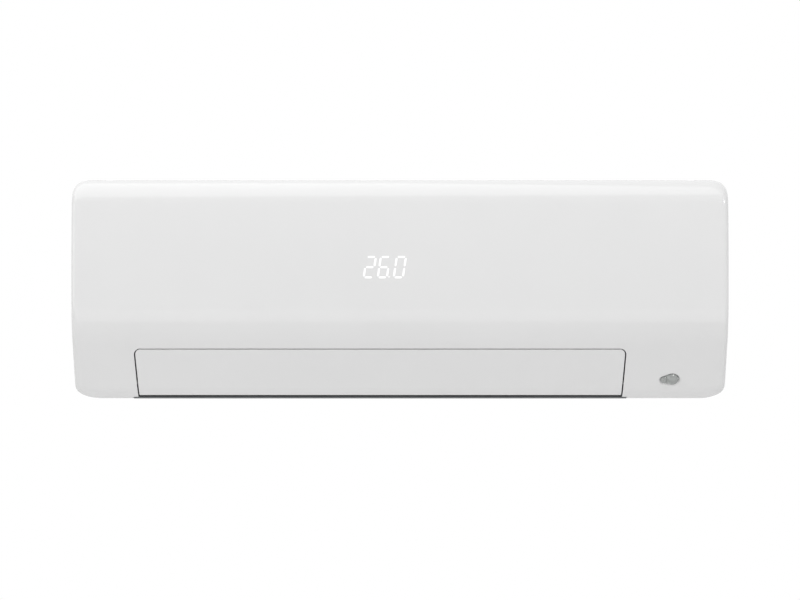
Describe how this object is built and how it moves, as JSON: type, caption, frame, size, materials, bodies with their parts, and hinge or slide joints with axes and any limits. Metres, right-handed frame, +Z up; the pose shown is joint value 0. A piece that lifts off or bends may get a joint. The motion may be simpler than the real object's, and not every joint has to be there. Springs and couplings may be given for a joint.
{
  "type": "mini split indoor unit",
  "caption": "Wall-hung split air conditioner indoor unit with a hinged front panel, motorised louvre, swing vanes, cross-flow fan and finned coil.",
  "frame": {"origin": "centre of the wall plate's screw rectangle, on the wall plane", "axes": "+X right as seen from the room, -Y out into the room, +Z up"},
  "size_m": [0.865, 0.2097, 0.29],
  "materials": {
    "panel_gloss": "high gloss white panel",
    "case_white": "fine-grained white moulding",
    "duct_grey": "dark grey moulding of the air path",
    "galvanised": "galvanised sheet",
    "screw_steel": "zinc-plated",
    "lens_clear": "clear polished plastic",
    "board_green": "solder mask",
    "fan_grey": "glass-filled moulding",
    "motor_shell": "resin-packed shell",
    "rubber_black": "soft black rubber",
    "fin_aluminium": "thin fins, coated",
    "copper": "bare copper tube",
    "brass_nut": "forged brass",
    "filter_mesh": "dark woven mesh in a moulded frame",
    "control_grey": "flame-resistant moulding"
  },
  "bodies": {
    "chassis": {"front_frame": "case_white", "rear_casing": "case_white", "wall_plate": "galvanised", "case_screws": "screw_steel", "louvre_support": "duct_grey", "louvre_motor": "galvanised", "fan_motor": "motor_shell", "motor_mount": "case_white", "bearing_housing": "case_white", "bearing_bush": "rubber_black", "coil_end_plate_left": "galvanised", "coil_end_plate_right": "galvanised", "return_bends": "copper", "coil_front_lower": "fin_aluminium", "coil_front_upper": "fin_aluminium", "coil_rear": "fin_aluminium", "drain_pan": "case_white", "drain_spout": "case_white", "drain_plug": "rubber_black", "control_box": "control_grey", "control_cover": "galvanised", "main_board": "board_green", "terminal_block": "control_grey", "terminal_screws": "screw_steel", "switch_board": "board_green", "room_sensor": "rubber_black", "gas_pipe": "copper", "liquid_pipe": "copper", "flare_nuts": "brass_nut", "pipe_clamp": "case_white"},
    "panel": {"front_panel": "panel_gloss", "sensor_lens": "lens_clear", "receiver_board": "board_green", "display_board": "board_green", "display_housing": "control_grey"},
    "louvre": {"louvre": "panel_gloss"},
    "fan": {"fan_segment_1": "fan_grey", "fan_segment_2": "fan_grey", "fan_segment_3": "fan_grey", "fan_left_cap": "fan_grey", "fan_hub": "fan_grey"},
    "button": {"auto_button": "case_white"},
    "filter_left": {"filter_left": "filter_mesh"},
    "filter_right": {"filter_right": "filter_mesh"},
    "vane_left_1": {"vane_left_1": "duct_grey"},
    "vane_left_2": {"vane_left_2": "duct_grey"},
    "vane_left_3": {"vane_left_3": "duct_grey"},
    "vane_left_4": {"vane_left_4": "duct_grey"},
    "vane_left_5": {"vane_left_5": "duct_grey"},
    "link_left": {"link_bar_left": "duct_grey"},
    "vane_right_1": {"vane_right_1": "duct_grey"},
    "vane_right_2": {"vane_right_2": "duct_grey"},
    "vane_right_3": {"vane_right_3": "duct_grey"},
    "vane_right_4": {"vane_right_4": "duct_grey"},
    "vane_right_5": {"vane_right_5": "duct_grey"},
    "link_right": {"link_bar_right": "duct_grey"}
  },
  "joints": [
    {"name": "panel_hinge", "type": "hinge", "parent": "chassis", "child": "panel", "pos_m": [0, -0.15, 0.136], "axis": [-1, 0, 0], "range_deg": [0, 60]},
    {"name": "louvre_hinge", "type": "hinge", "parent": "chassis", "child": "louvre", "pos_m": [0, -0.131, -0.123], "axis": [1, 0, 0], "range_deg": [0, 95]},
    {"name": "fan_spin", "type": "hinge", "parent": "chassis", "child": "fan", "pos_m": [0, -0.092, -0.03], "axis": [1, 0, 0], "continuous": true},
    {"name": "button_press", "type": "slide", "parent": "chassis", "child": "button", "axis": [0, 1, 0], "range_m": [0, 0.0008], "stiffness_N_per_m": 600, "springref_m": -0.001},
    {"name": "filter_left_lift", "type": "slide", "parent": "chassis", "child": "filter_left", "axis": [0, 0, 1], "range_m": [0, 0.006]},
    {"name": "filter_right_lift", "type": "slide", "parent": "chassis", "child": "filter_right", "axis": [0, 0, 1], "range_m": [0, 0.006]},
    {"name": "vane_left_1_swing", "type": "hinge", "parent": "chassis", "child": "vane_left_1", "pos_m": [-0.3105, -0.08556, -0.11033], "axis": [0, -0.7299, 0.6836], "range_deg": [-40, 40]},
    {"name": "vane_left_2_swing", "type": "hinge", "parent": "chassis", "child": "vane_left_2", "pos_m": [-0.2485, -0.08556, -0.11033], "axis": [0, -0.7299, 0.6836], "range_deg": [-40, 40]},
    {"name": "vane_left_3_swing", "type": "hinge", "parent": "chassis", "child": "vane_left_3", "pos_m": [-0.1865, -0.08556, -0.11033], "axis": [0, -0.7299, 0.6836], "range_deg": [-40, 40]},
    {"name": "vane_left_4_swing", "type": "hinge", "parent": "chassis", "child": "vane_left_4", "pos_m": [-0.1245, -0.08556, -0.11033], "axis": [0, -0.7299, 0.6836], "range_deg": [-40, 40]},
    {"name": "vane_left_5_swing", "type": "hinge", "parent": "chassis", "child": "vane_left_5", "pos_m": [-0.0625, -0.08556, -0.11033], "axis": [0, -0.7299, 0.6836], "range_deg": [-40, 40]},
    {"name": "link_left_pin", "type": "hinge", "parent": "vane_left_1", "child": "link_left", "pos_m": [-0.3105, -0.10516, -0.11663], "axis": [0, -0.7299, 0.6836], "range_deg": [-40, 40]},
    {"name": "vane_right_1_swing", "type": "hinge", "parent": "chassis", "child": "vane_right_1", "pos_m": [0.0095, -0.08556, -0.11033], "axis": [0, -0.7299, 0.6836], "range_deg": [-40, 40]},
    {"name": "vane_right_2_swing", "type": "hinge", "parent": "chassis", "child": "vane_right_2", "pos_m": [0.0715, -0.08556, -0.11033], "axis": [0, -0.7299, 0.6836], "range_deg": [-40, 40]},
    {"name": "vane_right_3_swing", "type": "hinge", "parent": "chassis", "child": "vane_right_3", "pos_m": [0.1335, -0.08556, -0.11033], "axis": [0, -0.7299, 0.6836], "range_deg": [-40, 40]},
    {"name": "vane_right_4_swing", "type": "hinge", "parent": "chassis", "child": "vane_right_4", "pos_m": [0.1955, -0.08556, -0.11033], "axis": [0, -0.7299, 0.6836], "range_deg": [-40, 40]},
    {"name": "vane_right_5_swing", "type": "hinge", "parent": "chassis", "child": "vane_right_5", "pos_m": [0.2575, -0.08556, -0.11033], "axis": [0, -0.7299, 0.6836], "range_deg": [-40, 40]},
    {"name": "link_right_pin", "type": "hinge", "parent": "vane_right_1", "child": "link_right", "pos_m": [0.0095, -0.10516, -0.11663], "axis": [0, -0.7299, 0.6836], "range_deg": [-40, 40]}
  ],
  "couplings": [
    {"joint": "vane_left_2_swing", "follows": "vane_left_1_swing", "ratio": 1},
    {"joint": "vane_left_3_swing", "follows": "vane_left_1_swing", "ratio": 1},
    {"joint": "vane_left_4_swing", "follows": "vane_left_1_swing", "ratio": 1},
    {"joint": "vane_left_5_swing", "follows": "vane_left_1_swing", "ratio": 1},
    {"joint": "link_left_pin", "follows": "vane_left_1_swing", "ratio": -1},
    {"joint": "vane_right_2_swing", "follows": "vane_right_1_swing", "ratio": 1},
    {"joint": "vane_right_3_swing", "follows": "vane_right_1_swing", "ratio": 1},
    {"joint": "vane_right_4_swing", "follows": "vane_right_1_swing", "ratio": 1},
    {"joint": "vane_right_5_swing", "follows": "vane_right_1_swing", "ratio": 1},
    {"joint": "link_right_pin", "follows": "vane_right_1_swing", "ratio": -1}
  ]
}
